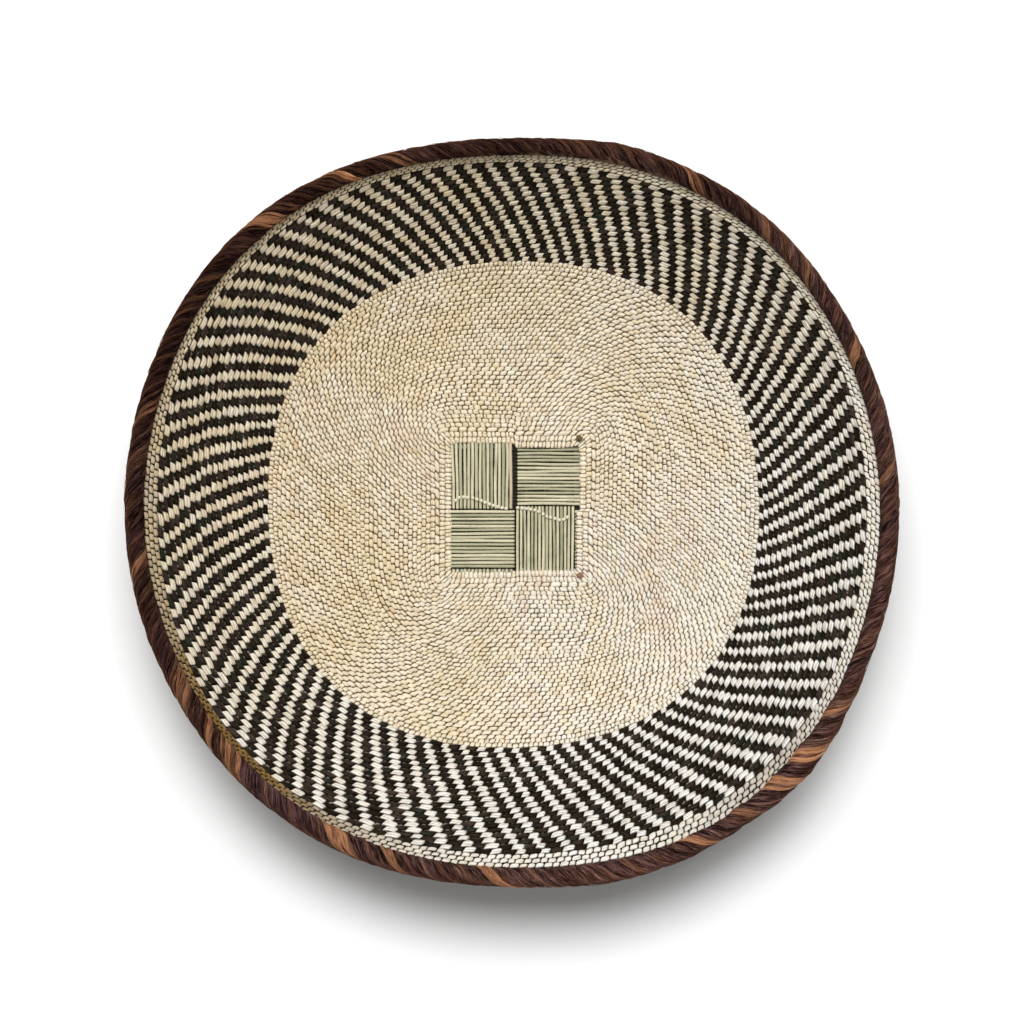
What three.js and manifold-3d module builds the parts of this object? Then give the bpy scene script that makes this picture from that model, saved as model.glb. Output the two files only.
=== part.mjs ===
// A shallow round basket of twined palm leaf, to hang on a wall or stand on a table.
// Millimetres and degrees. +Z rises out of the mouth, +Y is the side that hangs uppermost.
// Ribs cross in an open square at the centre, fan out inside the weave and end between two hoops.

import * as THREE from 'three';
import Module from 'manifold-3d';
import { mergeVertices } from 'three/addons/utils/BufferGeometryUtils.js';

const wasm = await Module();
wasm.setup();

// Ribs
const ribCount = 16; // ribs in each of the four bundles
const ribPitch = 2.35;
const ribThick = 1.7; // a rib where it shows in the square
const ribGroove = 0.5; // depth of the groove between two ribs
const fanThick = 1.9; // the rib layer inside the weave
const plaitGap = 2; // open gap between two bundles that run side by side
const turnRoom = 2.4; // length in which a bundle dips from the square into the weave
const tuckLength = 4; // how far a bundle keeps its width inside the weave
const fanGap = 1.6; // gap between two fans, where the strands cross from front to back
const fanSteps = 3; // facets across each fan
const fanAngle = 30; // what each of the three fans of a quadrant takes at the rim
const fanEase = 3; // 1 spreads the fans evenly, more than 1 spreads them early

// Twined rows
const weftThick = 1; // the strands on one side of the ribs
const clearance = 0.3; // between any two pieces that touch on the real basket
const fieldRows = [7, 6, 9, 10, 9]; // rows in each course, from the square outward
const floorCourses = 2; // the base is flat under this many courses
const fieldRowPitch = 2.656;
const bandRows = [7, 7, 7];
const bandRowPitch = 2.84;
const edgeRows = 3;
const edgeRowPitch = 1.9;

// The bowl
const rimHeight = 82.4; // height of the middle of the rim
const bowlPower = 1.8; // 1 is a cone, 2 is a parabola

// The rim
const hoopRadius = 4.15; // both hoops together, as a round rod that the ribs split
const barkThick = 0.75;
const barkStrips = 18;
const stripSteps = 2; // facets along each strip
const barkSides = 8;
const hoopSides = 5;
const rimSolverSteps = 20;

// Outlines, each with a sideways shift and lobes of [how many, how far out, direction of one]
const squareOutline = { shift: [0.6, 1.8], lobes: [] };
const fieldOutline = { shift: [-0.1, 4.2], lobes: [[2, 0.7, 10], [4, 3.2, 48]] };
const bandOutline = { shift: [-1, 2], lobes: [[2, 2.5, -7.5], [4, 3.15, 45.5]] };
const rimOutline = {
  shift: [-0.2, 0.3],
  lobes: [[2, 3.2, -13], [3, 0.95, 48], [4, 2.55, 45], [6, 0.85, 4]],
};
const squareCorner = 0.985; // how much of its diagonal a row keeps where it starts to round

// Small pieces, placed from the middle of the square
const threadWidth = 1;
const threadSides = 6;
const threadSteps = 2; // facets along a thread for each of its points
const leftThread = [
  [-35.5, 4.9], [-33.5, 6.6], [-30.8, 6.9], [-25.2, 6.4], [-22, 5.4], [-16.8, 3.3], [-10.7, 1.3], [-5, 0.1],
];
const rightThread = [
  [1.8, 0.5], [7, 0], [12.5, -1], [17.8, -3.7], [22.5, -5.5], [27.2, -7], [29.8, -6.5], [31.8, -5.2],
];
const knotRadius = 2.4;
const knotHeight = 2;
const knotSides = 10;
const knotProfile = [[0, 0], [0.8, 0], [1, 0.4], [0.7, 0.85], [0, 1]]; // shares of radius and height
const knotPlaces = { upper: [39.2, 42.4], lower: [39.5, -40.2] };

// Sizes that follow from the ones above
const bundleWidth = ribCount * ribPitch;
const squareHalf = plaitGap / 2 + bundleWidth + turnRoom;
const sum = (list) => list.reduce((total, item) => total + item, 0);
const tuckRadius = squareHalf + tuckLength;
const floorRadius = squareHalf + sum(fieldRows.slice(0, floorCourses)) * fieldRowPitch;
const fieldRadius = squareHalf + sum(fieldRows) * fieldRowPitch;
const bandRadius = fieldRadius + sum(bandRows) * bandRowPitch;
const edgeRadius = bandRadius + edgeRows * edgeRowPitch;
const wallThick = 2 * weftThick + 2 * clearance + fanThick;
const barkInner = hoopRadius + 2 * clearance; // twice, as its facets cut in between their corners
const barkOuter = barkInner + barkThick;
const floorMiddle = wallThick / 2;
const wholeStrips = Math.round(barkStrips);
const aroundSteps = wholeStrips * stripSteps;
const channelHalf = fanThick / 2 + clearance; // half the room that the ribs take in the weave
const rimRadius = solveRimRadius();

function turn(degrees) {
  return THREE.MathUtils.degToRad(degrees);
}

// The rim's middle lies just far enough past the last row for the bark to clear it.
function solveRimRadius() {
  let radius = edgeRadius;
  for (let step = 0; step < rimSolverSteps; step += 1) {
    const slope = (bowlPower * (rimHeight - floorMiddle)) / (radius - floorRadius);
    radius = edgeRadius + (barkOuter + clearance) * Math.cos(Math.atan(slope));
  }
  return radius;
}

function riseAt(radius) {
  const reach = Math.min(Math.max((radius - floorRadius) / (rimRadius - floorRadius), 0), 1);
  const past = Math.max(radius - rimRadius, 0);
  return (rimHeight - floorMiddle) * reach ** bowlPower + past * slopeAt(rimRadius);
}

function slopeAt(radius) {
  const reach = Math.min(Math.max((radius - floorRadius) / (rimRadius - floorRadius), 0), 1);
  const steepest = (bowlPower * (rimHeight - floorMiddle)) / (rimRadius - floorRadius);
  return steepest * reach ** (bowlPower - 1);
}

function lobesOf(outline, angle) {
  const swell = ([count, size, peak]) => size * Math.cos(turn(count * (angle - peak)));
  return sum(outline.lobes.map(swell));
}

function mixOutlines(from, to, share, angle) {
  const shift = from.shift.map((value, i) => THREE.MathUtils.lerp(value, to.shift[i], share));
  const lobe = THREE.MathUtils.lerp(lobesOf(from, angle), lobesOf(to, angle), share);
  return { shift, lobe };
}

function outlineAt(radius, angle) {
  const shareOf = (low, high) => Math.min(Math.max((radius - low) / (high - low), 0), 1);
  if (radius <= fieldRadius) {
    return mixOutlines(squareOutline, fieldOutline, shareOf(squareHalf, fieldRadius), angle);
  }
  if (radius <= bandRadius) {
    return mixOutlines(fieldOutline, bandOutline, shareOf(fieldRadius, bandRadius), angle);
  }
  return mixOutlines(bandOutline, rimOutline, shareOf(bandRadius, edgeRadius), angle);
}

// Rows start square and grow round. The exponent is 2 on a circle and large on a square.
function squareness(radius, angle) {
  const across = [Math.abs(Math.cos(turn(angle))), Math.abs(Math.sin(turn(angle)))];
  if (radius <= tuckRadius) {
    return 1 / Math.max(...across);
  }
  if (radius >= fieldRadius) {
    return 1;
  }
  const share = (radius - tuckRadius) / (fieldRadius - tuckRadius);
  const corner = THREE.MathUtils.lerp(tuckRadius * Math.SQRT2 * squareCorner, fieldRadius, share);
  const power = 1 / (0.5 - Math.log2(corner / radius));
  return sum(across.map((value) => value ** power)) ** (-1 / power);
}

// A point of the wall: radius picks the row, angle the place on it, and out is measured
// from the middle of the wall towards the inside of the bowl.
function wallPoint(radius, angle, out = 0, along = 0) {
  const { shift, lobe } = outlineAt(radius, angle);
  const slope = Math.atan(slopeAt(radius));
  const rowReach = radius * squareness(radius, angle) + lobe;
  const reach = rowReach - out * Math.sin(slope) + along * Math.cos(slope);
  const height = floorMiddle + riseAt(radius) + out * Math.cos(slope) + along * Math.sin(slope);
  return new THREE.Vector3(
    shift[0] + reach * Math.cos(turn(angle)),
    shift[1] + reach * Math.sin(turn(angle)),
    height,
  );
}

// Joins sections of equal point count into one closed body. A ring closes on itself.
function sweep(sections, profile, ring = false) {
  const size = profile.length;
  const positions = sections.flat().flatMap((point) => point.toArray());
  const index = [];
  const last = ring ? sections.length : sections.length - 1;
  for (let i = 0; i < last; i += 1) {
    const here = i * size;
    const next = ((i + 1) % sections.length) * size;
    for (let j = 0; j < size; j += 1) {
      const k = (j + 1) % size;
      index.push(here + j, next + j, next + k);
      index.push(here + j, next + k, here + k);
    }
  }
  if (!ring) {
    const end = (sections.length - 1) * size;
    const clockwise = THREE.ShapeUtils.isClockWise(profile);
    for (const face of THREE.ShapeUtils.triangulateShape(profile, [])) {
      const [a, b, c] = clockwise ? face.reverse() : face;
      index.push(a, b, c);
      index.push(end + a, end + c, end + b);
    }
  }
  const geometry = new THREE.BufferGeometry();
  geometry.setAttribute('position', new THREE.Float32BufferAttribute(positions, 3));
  geometry.setIndex(index);
  return facingOut(geometry);
}

function facingOut(geometry) {
  const at = geometry.attributes.position;
  const index = geometry.index.array;
  const corners = [new THREE.Vector3(), new THREE.Vector3(), new THREE.Vector3()];
  let volume = 0;
  for (let i = 0; i < index.length; i += 3) {
    corners.forEach((corner, k) => corner.fromBufferAttribute(at, index[i + k]));
    volume += corners[0].dot(corners[1].cross(corners[2]));
  }
  if (volume < 0) {
    for (let i = 0; i < index.length; i += 3) {
      [index[i + 1], index[i + 2]] = [index[i + 2], index[i + 1]];
    }
  }
  return geometry;
}

function toSolid(geometry) {
  const bare = geometry.clone();
  bare.deleteAttribute('normal');
  bare.deleteAttribute('uv');
  const merged = mergeVertices(bare, 1e-4);
  return new wasm.Manifold(new wasm.Mesh({
    numProp: 3,
    vertProperties: merged.attributes.position.array,
    triVerts: new Uint32Array(merged.index.array),
  }));
}

function toGeometry(solid) {
  const mesh = solid.getMesh();
  const geometry = new THREE.BufferGeometry();
  geometry.setAttribute('position', new THREE.BufferAttribute(mesh.vertProperties, 3));
  geometry.setIndex(new THREE.BufferAttribute(mesh.triVerts, 1));
  return geometry;
}

function degreesOf(opposite, adjacent) {
  return THREE.MathUtils.radToDeg(Math.atan2(opposite, adjacent));
}

// Where a bundle's outer rib lies, in degrees from the axis that the bundle runs along.
// It keeps its width until it is tucked in, then spreads to its share of the quadrant.
function bundleSpread(radius) {
  const width = plaitGap / 2 + bundleWidth;
  if (radius <= tuckRadius) {
    return degreesOf(width, radius);
  }
  const spread = fanAngle - degreesOf(fanGap / 2, radius);
  const left = Math.max((rimRadius - radius) / (rimRadius - tuckRadius), 0);
  return THREE.MathUtils.lerp(spread, degreesOf(width, tuckRadius), left ** fanEase);
}

// The twelve fans of ribs, three in each quadrant, as their two edges in degrees.
// The middle one of each three holds the corner ribs.
function ribZones(radius, grow) {
  const inner = degreesOf(plaitGap / 2 - grow, radius);
  const outer = bundleSpread(radius) + degreesOf(grow, radius);
  const corner = bundleSpread(radius) + degreesOf(fanGap - grow, radius);
  return [0, 90, 180, 270].flatMap((axis) => [
    [axis + inner, axis + outer],
    [axis + corner, axis + 90 - corner],
    [axis + 90 - outer, axis + 90 - inner],
  ]);
}

function zoneAngles([low, high]) {
  const steps = [...Array(fanSteps + 1).keys()];
  return steps.map((step) => THREE.MathUtils.lerp(low, high, step / fanSteps));
}

const courseWidths = [
  ...fieldRows.map((rows) => rows * fieldRowPitch),
  ...bandRows.map((rows) => rows * bandRowPitch),
  edgeRows * edgeRowPitch,
];
const courseEnds = courseWidths.reduce((ends, width) => [...ends, ends.at(-1) + width], [squareHalf]);
const ribEnd = rimRadius + channelHalf;

// One fan, a layer of ribs that follows the middle of the wall out to the rim
function fanBody(start, zone) {
  const further = courseEnds.filter((radius) => radius > start + clearance);
  const sections = [start, ...further, ribEnd].map((radius) => {
    const angles = zoneAngles(ribZones(radius, 0)[zone]);
    const front = angles.map((angle) => wallPoint(radius, angle, fanThick / 2));
    const back = angles.map((angle) => wallPoint(radius, angle, -fanThick / 2));
    return [...front, ...back.reverse()];
  });
  const front = zoneAngles([0, 1]).map((share) => new THREE.Vector2(share, 1));
  const back = zoneAngles([0, 1]).map((share) => new THREE.Vector2(share, 0));
  return sweep(sections, [...front, ...back.reverse()]);
}

// The four bundles, plaited over and under in the square
const bundles = [
  { name: 'left', side: -1, upright: true, zones: [3, 8] },
  { name: 'right', side: 1, upright: true, zones: [2, 9] },
  { name: 'upper', side: 1, upright: false, zones: [0, 5] },
  { name: 'lower', side: -1, upright: false, zones: [6, 11] },
];
const corners = ['upper_right', 'upper_left', 'lower_left', 'lower_right'];
const fansPerCorner = 3;
const cornerZone = (corner) => fansPerCorner * corner + 1;

function stripProfile() {
  const top = [...Array(2 * ribCount + 1).keys()].map((i) => {
    const dip = i % 2 ? 0 : ribGroove;
    return new THREE.Vector2((i * ribPitch) / 2, ribThick / 2 - dip);
  });
  const bottom = [bundleWidth, 0].map((across) => new THREE.Vector2(across, -ribThick / 2));
  return [...top, ...bottom];
}

function bundleBody({ side, upright, zones }) {
  const lift = (side < 0) === upright ? -1 : 1;
  const level = (lift * (ribThick + clearance)) / 2;
  const flat = squareHalf - turnRoom;
  const end = tuckRadius + clearance;
  const stations = [
    [-end, 0], [-squareHalf, 0], [-flat, level], [-plaitGap / 2, level],
    [plaitGap / 2, -level], [flat, -level], [squareHalf, 0], [end, 0],
  ];
  const offset = side < 0 ? -plaitGap / 2 - bundleWidth : plaitGap / 2;
  const [shiftX, shiftY] = squareOutline.shift;
  const profile = stripProfile();
  const sections = stations.map(([station, rise]) => profile.map(({ x, y }) => {
    const across = offset + x;
    const height = floorMiddle + rise + y;
    const [px, py] = upright ? [across, station] : [station, across];
    return new THREE.Vector3(shiftX + px, shiftY + py, height);
  }));
  const strip = toSolid(sweep(sections, profile));
  const fans = zones.map((zone) => toSolid(fanBody(tuckRadius, zone)));
  return toGeometry(strip.add(fans[0]).add(fans[1]));
}

// One course of twined rows: a ring whose strands pass in front of the ribs and behind them,
// and cross from one side to the other between the fans
function courseBody(low, high, openZone) {
  const levels = [wallThick / 2, channelHalf, -channelHalf, -wallThick / 2];
  const edges = [low + clearance / 2, high - clearance / 2];
  const angles = edges.map((radius) => ribZones(radius, clearance).map(zoneAngles).flat());
  const positions = [];
  const count = angles[0].length;
  for (let i = 0; i < count; i += 1) {
    edges.forEach((radius, edge) => {
      levels.forEach((level) => positions.push(...wallPoint(radius, angles[edge][i], level).toArray()));
    });
  }
  const index = [];
  const quad = (a, b, c, d) => index.push(a, b, c, a, c, d);
  const depth = levels.length;
  const open = (i) => i % (fanSteps + 1) < fanSteps && openZone(Math.floor(i / (fanSteps + 1)));
  for (let i = 0; i < count; i += 1) {
    const here = i * 2 * depth;
    const next = ((i + 1) % count) * 2 * depth;
    quad(here, here + depth, next + depth, next);
    quad(here + 3, next + 3, next + 3 + depth, here + 3 + depth);
    if (open(i)) {
      quad(here + 1, next + 1, next + 1 + depth, here + 1 + depth);
      quad(next + 2, here + 2, here + 2 + depth, next + 2 + depth);
    }
    for (const k of open(i) ? [0, 2] : [0, 1, 2]) {
      quad(here + k, next + k, next + k + 1, here + k + 1);
      quad(here + k + depth, here + k + 1 + depth, next + k + 1 + depth, next + k + depth);
    }
    const before = open((i + count - 1) % count);
    if (open(i) && !before) {
      quad(here + 1, here + 1 + depth, here + 2 + depth, here + 2);
    }
    if (before && !open(i)) {
      quad(here + 1, here + 2, here + 2 + depth, here + 1 + depth);
    }
  }
  const geometry = new THREE.BufferGeometry();
  geometry.setAttribute('position', new THREE.Float32BufferAttribute(positions, 3));
  geometry.setIndex(index);
  return facingOut(geometry);
}

// Half a round rod, its flat side against the ribs
function hoopBody(side) {
  const spread = Math.acos(channelHalf / hoopRadius);
  const profile = [];
  for (let i = 0; i <= hoopSides; i += 1) {
    const angle = spread * ((2 * i) / hoopSides - 1);
    const out = side * hoopRadius * Math.cos(angle);
    profile.push(new THREE.Vector2(out, hoopRadius * Math.sin(angle)));
  }
  const sections = [];
  for (let i = 0; i < aroundSteps; i += 1) {
    sections.push(profile.map(({ x, y }) => wallPoint(rimRadius, (i * 360) / aroundSteps, x, y)));
  }
  return sweep(sections, profile, true);
}

// A strip of bark wound round the hoops, open underneath where the ribs come in
function barkBody(number) {
  const profile = [];
  for (const [radius, order] of [[barkOuter, 1], [barkInner, -1]]) {
    const open = Math.asin(channelHalf / radius);
    for (let i = 0; i <= barkSides; i += 1) {
      const share = order > 0 ? i / barkSides : 1 - i / barkSides;
      const angle = -Math.PI / 2 + open + 2 * (Math.PI - open) * share;
      profile.push(new THREE.Vector2(radius * Math.cos(angle), radius * Math.sin(angle)));
    }
  }
  const span = 360 / wholeStrips;
  const gap = degreesOf(clearance / 2, rimRadius);
  const [start, end] = [number * span + gap, (number + 1) * span - gap];
  const sections = [];
  for (let i = 0; i <= stripSteps; i += 1) {
    const angle = THREE.MathUtils.lerp(start, end, i / stripSteps);
    sections.push(profile.map(({ x, y }) => wallPoint(rimRadius, angle, x, y)));
  }
  return sweep(sections, profile);
}

// Threads laced over the ribs, and the knots that tie in the corner ribs
function threadBody(points) {
  const ribTop = floorMiddle + (ribThick + clearance) / 2 + ribThick / 2;
  const height = ribTop + clearance + threadWidth / 2;
  const [x, y] = squareOutline.shift;
  const stops = points.map(([px, py]) => new THREE.Vector3(x + px, y + py, height));
  const section = new THREE.Shape(
    [...Array(threadSides).keys()].map((i) => {
      const angle = ((i + 0.5) * 2 * Math.PI) / threadSides;
      return new THREE.Vector2(Math.cos(angle), Math.sin(angle)).multiplyScalar(threadWidth / 2);
    }),
  );
  return new THREE.ExtrudeGeometry(section, {
    steps: threadSteps * points.length,
    extrudePath: new THREE.CatmullRomCurve3(stops),
  });
}

function knotBody() {
  const points = knotProfile.map(([out, up]) => new THREE.Vector2(out * knotRadius, up * knotHeight));
  return new THREE.LatheGeometry(points, knotSides).rotateX(Math.PI / 2);
}

const finishes = {
  rib: { color: 0xb9b690, roughness: 0.6 },
  palm: { color: 0xdcc79f, roughness: 0.75 },
  dyed: { color: 0x8a7c66, roughness: 0.75 },
  withy: { color: 0x8c6a45, roughness: 0.8 },
  bark: { color: 0x4a2318, roughness: 0.55 },
  thread: { color: 0xe9e2cb, roughness: 0.7 },
  knot: { color: 0x5a3a22, roughness: 0.7 },
};
const materials = {};
for (const [name, finish] of Object.entries(finishes)) {
  materials[name] = new THREE.MeshStandardMaterial({ ...finish, metalness: 0 });
}

const basket = new THREE.Group();

function add(name, geometry, finish) {
  const mesh = new THREE.Mesh(geometry, materials[finish]);
  mesh.name = name;
  basket.add(mesh);
  return mesh;
}

function addRibs() {
  for (const bundle of bundles) {
    add(`rib_bundle_${bundle.name}`, bundleBody(bundle), 'rib');
  }
  corners.forEach((name, corner) => {
    add(`corner_ribs_${name}`, fanBody(courseEnds[1] + fanGap, cornerZone(corner)), 'rib');
  });
}

function addCourses() {
  const names = [
    'square_rows',
    ...fieldRows.slice(1).map((_, i) => `field_rows_${i + 1}`),
    ...bandRows.map((_, i) => `band_rows_${i + 1}`),
    'edge_rows',
  ];
  const isCorner = (zone) => zone % fansPerCorner === 1;
  names.forEach((name, i) => {
    const openZone = (zone) => i > 0 || !isCorner(zone);
    const finish = name.startsWith('band') ? 'dyed' : 'palm';
    add(name, courseBody(courseEnds[i], courseEnds[i + 1], openZone), finish);
  });
}

function addRim() {
  add('hoop_inner', hoopBody(1), 'withy');
  add('hoop_outer', hoopBody(-1), 'withy');
  for (let i = 0; i < wholeStrips; i += 1) {
    add(`bark_strip_${String(i + 1).padStart(2, '0')}`, barkBody(i), 'bark');
  }
}

function addSmallPieces() {
  add('thread_left', threadBody(leftThread), 'thread');
  add('thread_right', threadBody(rightThread), 'thread');
  const [x, y] = squareOutline.shift;
  for (const [name, [knotX, knotY]] of Object.entries(knotPlaces)) {
    const knot = add(`knot_${name}`, knotBody(), 'knot');
    knot.position.set(x + knotX, y + knotY, wallThick + clearance);
  }
}

addRibs();
addCourses();
addRim();
addSmallPieces();

// The middle of the outline goes to the origin
basket.updateMatrixWorld(true);
const middle = new THREE.Box3().setFromObject(basket).getCenter(new THREE.Vector3());
basket.position.set(-middle.x, -middle.y, 0);

export default basket;
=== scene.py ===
import math
from collections import namedtuple

import bpy
import numpy as np
from bpy.props import FloatProperty, FloatVectorProperty, IntProperty, PointerProperty
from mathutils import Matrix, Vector


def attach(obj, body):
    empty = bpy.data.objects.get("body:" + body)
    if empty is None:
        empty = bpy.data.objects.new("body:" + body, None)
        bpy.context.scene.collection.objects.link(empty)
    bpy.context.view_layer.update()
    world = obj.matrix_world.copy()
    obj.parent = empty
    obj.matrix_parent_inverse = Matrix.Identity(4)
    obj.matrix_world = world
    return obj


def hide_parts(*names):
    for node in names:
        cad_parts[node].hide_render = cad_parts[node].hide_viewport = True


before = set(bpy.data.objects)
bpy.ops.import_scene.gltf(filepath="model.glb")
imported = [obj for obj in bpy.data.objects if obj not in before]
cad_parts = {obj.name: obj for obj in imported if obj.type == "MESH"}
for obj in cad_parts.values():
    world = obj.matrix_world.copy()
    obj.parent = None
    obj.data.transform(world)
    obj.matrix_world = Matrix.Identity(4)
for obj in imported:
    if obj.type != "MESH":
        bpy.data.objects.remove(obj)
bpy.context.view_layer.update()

bl_info = {
    "name": "Twined Wall Basket",
    "version": (1, 0, 0),
    "blender": (4, 5, 0),
    "location": "3D View > Sidebar > Basket",
    "description": "Dresses the solids of a twined wall basket with ribs, stitches and bark binding",
    "category": "Mesh",
}

TURN = 2 * math.pi

# The wall as the solids have it, in metres
SQUARE_HALF = 0.041
TUCK_RADIUS = 0.045
FIELD_ROW = 0.002656
BAND_ROW = 0.00284
EDGE_ROW = 0.0019
COURSES = {
    "square_rows": 7,
    "field_rows_1": 6,
    "field_rows_2": 9,
    "field_rows_3": 10,
    "field_rows_4": 9,
    "band_rows_1": 7,
    "band_rows_2": 7,
    "band_rows_3": 7,
    "edge_rows": 3,
}
FLOOR_ROWS = 13
FIELD_ROWS = 41
BAND_ROWS = 21
FLOOR_RADIUS = SQUARE_HALF + FLOOR_ROWS * FIELD_ROW
FIELD_RADIUS = SQUARE_HALF + FIELD_ROWS * FIELD_ROW
BAND_RADIUS = FIELD_RADIUS + BAND_ROWS * BAND_ROW
EDGE_RADIUS = BAND_RADIUS + COURSES["edge_rows"] * EDGE_ROW
RIM_RADIUS = 0.219344
RIM_HEIGHT = 0.0824
FLOOR_MIDDLE = 0.00225
BOWL_POWER = 1.8
SQUARE_CORNER = 0.985
MIDDLE = (0.000969, 0.000258)
BARK_STRIPS = 18

# Outlines, each with a sideways shift and lobes of (how many, how far out, direction of one)
SQUARE_OUTLINE = ((0.0006, 0.0018), ())
SQUARE_MIDDLE = tuple(m + shift for m, shift in zip(MIDDLE, SQUARE_OUTLINE[0]))
FIELD_OUTLINE = ((-0.0001, 0.0042), ((2, 0.0007, 10), (4, 0.0032, 48)))
BAND_OUTLINE = ((-0.001, 0.002), ((2, 0.0025, -7.5), (4, 0.00315, 45.5)))
RIM_OUTLINE = (
    (-0.0002, 0.0003),
    ((2, 0.0032, -13), (3, 0.00095, 48), (4, 0.00255, 45), (6, 0.00085, 4)),
)

# The weave
OPENING_HALF = 0.0394  # where the first row begins, over the ends of the ribs
FIRST_ROW = 0.0037  # the first row's stitches stand across it
BAND_COUNT = 190
# How many stitches a row has, from the row with each number on: first the rows whose stitches pass over two
# ribs, then from 18 on those that pass over one, two fine rows, the band and the edge
ROW_COUNTS = (
    (0, 128), (2, 64), (3, 112), (4, 116), (5, 118), (18, 176), (FIELD_ROWS - 2, 306),
    (FIELD_ROWS, BAND_COUNT), (FIELD_ROWS + BAND_ROWS, 290),
)
# Where the field, the band and the edge begin: number of the row, radius, and width of each row
ROW_WIDTHS = (
    (0, SQUARE_HALF, FIELD_ROW),
    (FIELD_ROWS, FIELD_RADIUS, BAND_ROW),
    (FIELD_ROWS + BAND_ROWS, BAND_RADIUS, EDGE_ROW),
)
ALIGNED_ROWS = 2  # rows whose stitches stand one above another
# How far the first rows reach in over the square, as (direction, metres)
OPENING_INSETS = (
    (0, 0), (41, 0), (49, 0.0028), (88, 0.0028), (92, 0), (131, 0), (139, 0.0012), (222, 0.0012),
    (228, 0.0011), (266, 0.0011), (274, 0.0021), (356, 0.0022), (360, 0),
)
EDGE_STRETCH = 0.0012  # the last rows reach this much further out by the top of the rim
EDGE_STRETCH_AT = (85, 28)  # direction and width of that stretch, in degrees
# Where the rows by the rim have darkened: direction and width in degrees, share
AGED_PLACES = ((180, 30, 0.35), (222, 24, 1.0), (315, 16, 0.4))
STAGGER = 0.5  # stitches by which each row steps on
FIELD_DRIFT = 0.075  # stitches by which the ribs lean in each row of the field
BAND_DRIFT = 0.194  # and in each row of the band and the edge
FIRST_PAIR = 26.46  # sets where the pale stitches of the band begin
WALL_STEPS = 2880  # steps in which the length of a row is measured
# How the ribs crowd and open out round the bowl: lobes of (how many, pairs of stitches, direction)
SWAY = ((1, 1.04, 163), (2, 0.19, 23), (3, 0.16, -6), (4, 0.09, 16), (6, 0.07, -3))


def tone(red, green, blue):
    """A colour as a screen shows it, 0 to 255, in the values that shaders take."""
    seen = [v / 255 for v in (red, green, blue)]
    return tuple(v / 12.92 if v <= 0.04045 else ((v + 0.055) / 1.055) ** 2.4 for v in seen)


def colour_property(name, description, *seen):
    return FloatVectorProperty(
        name=name, description=description, subtype="COLOR", size=3, min=0, max=1, default=tone(*seen)
    )


def length_property(name, description, default):
    return FloatProperty(
        name=name, description=description, subtype="DISTANCE", unit="LENGTH", precision=5, default=default
    )


def number_property(name, description, default, kind=FloatProperty):
    return kind(name=name, description=description, default=default)


class BasketSizes(bpy.types.PropertyGroup):
    """Sizes of the strands, ribs and wraps."""

    strand_lift: length_property("Strand lift", "From the ribs' middle to a strand's middle", 0.0013)
    strand_thick: length_property("Strand thickness", "Half the thickness of a strand of palm", 0.00072)
    unevenness: number_property("Unevenness", "How much stitches differ in length", 0.15)
    rib_thick: length_property("Rib thickness", "Thickness of a rib in the square", 0.0016)
    wraps: number_property("Wraps", "Turns of bark round the rim", 540, IntProperty)
    hairs: number_property("Hairs", "Loose fibres on each strip of bark", 30, IntProperty)
    wrap_bend: number_property("Wrap lean", "How far the bark runs on along the rim as it winds", 1.0)
    seed: number_property("Seed", "Picks other small differences between like parts", 7, IntProperty)


class BasketColours(bpy.types.PropertyGroup):
    """Colours of the palm, the ribs and the bark."""

    # The warm side is the upper left and the bleached side the lower right: partly bleaching, partly painted
    # light
    straw: colour_property("Straw", "Darkest palm on the warm side", 232, 207, 162)
    wheat: colour_property("Wheat", "Most of the palm on the warm side", 246, 227, 190)
    cream: colour_property("Cream", "Palest palm on the warm side", 252, 238, 208)
    ivory: colour_property("Ivory", "Most of the palm on the bleached side", 254, 248, 233)
    pale: colour_property("Pale", "Palest palm on the bleached side", 255, 252, 245)
    chalk: colour_property("Chalk", "Palm of the band where it has bleached most", 250, 250, 249)
    blush: colour_property("Blush", "Pink stain in the palm", 246, 214, 190)
    leaf: colour_property("Leaf", "Green left in the palm", 224, 221, 182)
    # Groove, shadow and rib dark are also painted shade at strand and rib sides and where they turn under
    groove: colour_property("Groove", "Deep between the strands of the field", 116, 82, 36)
    shadow: colour_property("Shadow", "Deep between the strands of the band and edge", 26, 20, 11)
    dyed: colour_property("Dyed", "Dyed palm", 28, 21, 11)
    dyed_plum: colour_property("Dyed plum", "Dyed palm where the dye is thin", 62, 50, 44)
    dyed_green: colour_property("Dyed green", "Dyed palm with leaf green under the dye", 38, 42, 33)
    sage: colour_property("Sage", "Green ribs", 170, 170, 138)
    rib_cream: colour_property("Rib cream", "Pale ribs", 230, 221, 188)
    rib_dark: colour_property("Rib dark", "Grooves between ribs", 24, 18, 9)
    bark: colour_property("Bark", "Most of the bark", 32, 13, 9)
    bark_dark: colour_property("Bark dark", "Grooves in the bark", 8, 3, 2)
    bark_red: colour_property("Bark red", "Worn crests of the bark", 64, 33, 22)
    bark_grey: colour_property("Bark grey", "Bark that light has faded", 84, 48, 42)
    bark_worn: colour_property("Bark worn", "Worn crests of faded bark", 150, 112, 102)
    bark_tan: colour_property("Bark tan", "Inner face of the bark", 236, 166, 118)
    bark_plum: colour_property("Bark plum", "Sheen on old bark", 110, 78, 92)
    withy: colour_property("Withy", "Rods of the rim", 84, 58, 38)
    thread: colour_property("Thread", "Lacing over the ribs", 250, 246, 228)
    knot: colour_property("Knot", "Upper knot of the square", 112, 90, 40)
    knot_pink: colour_property("Knot pink", "Lower knot of the square", 170, 128, 104)


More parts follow.
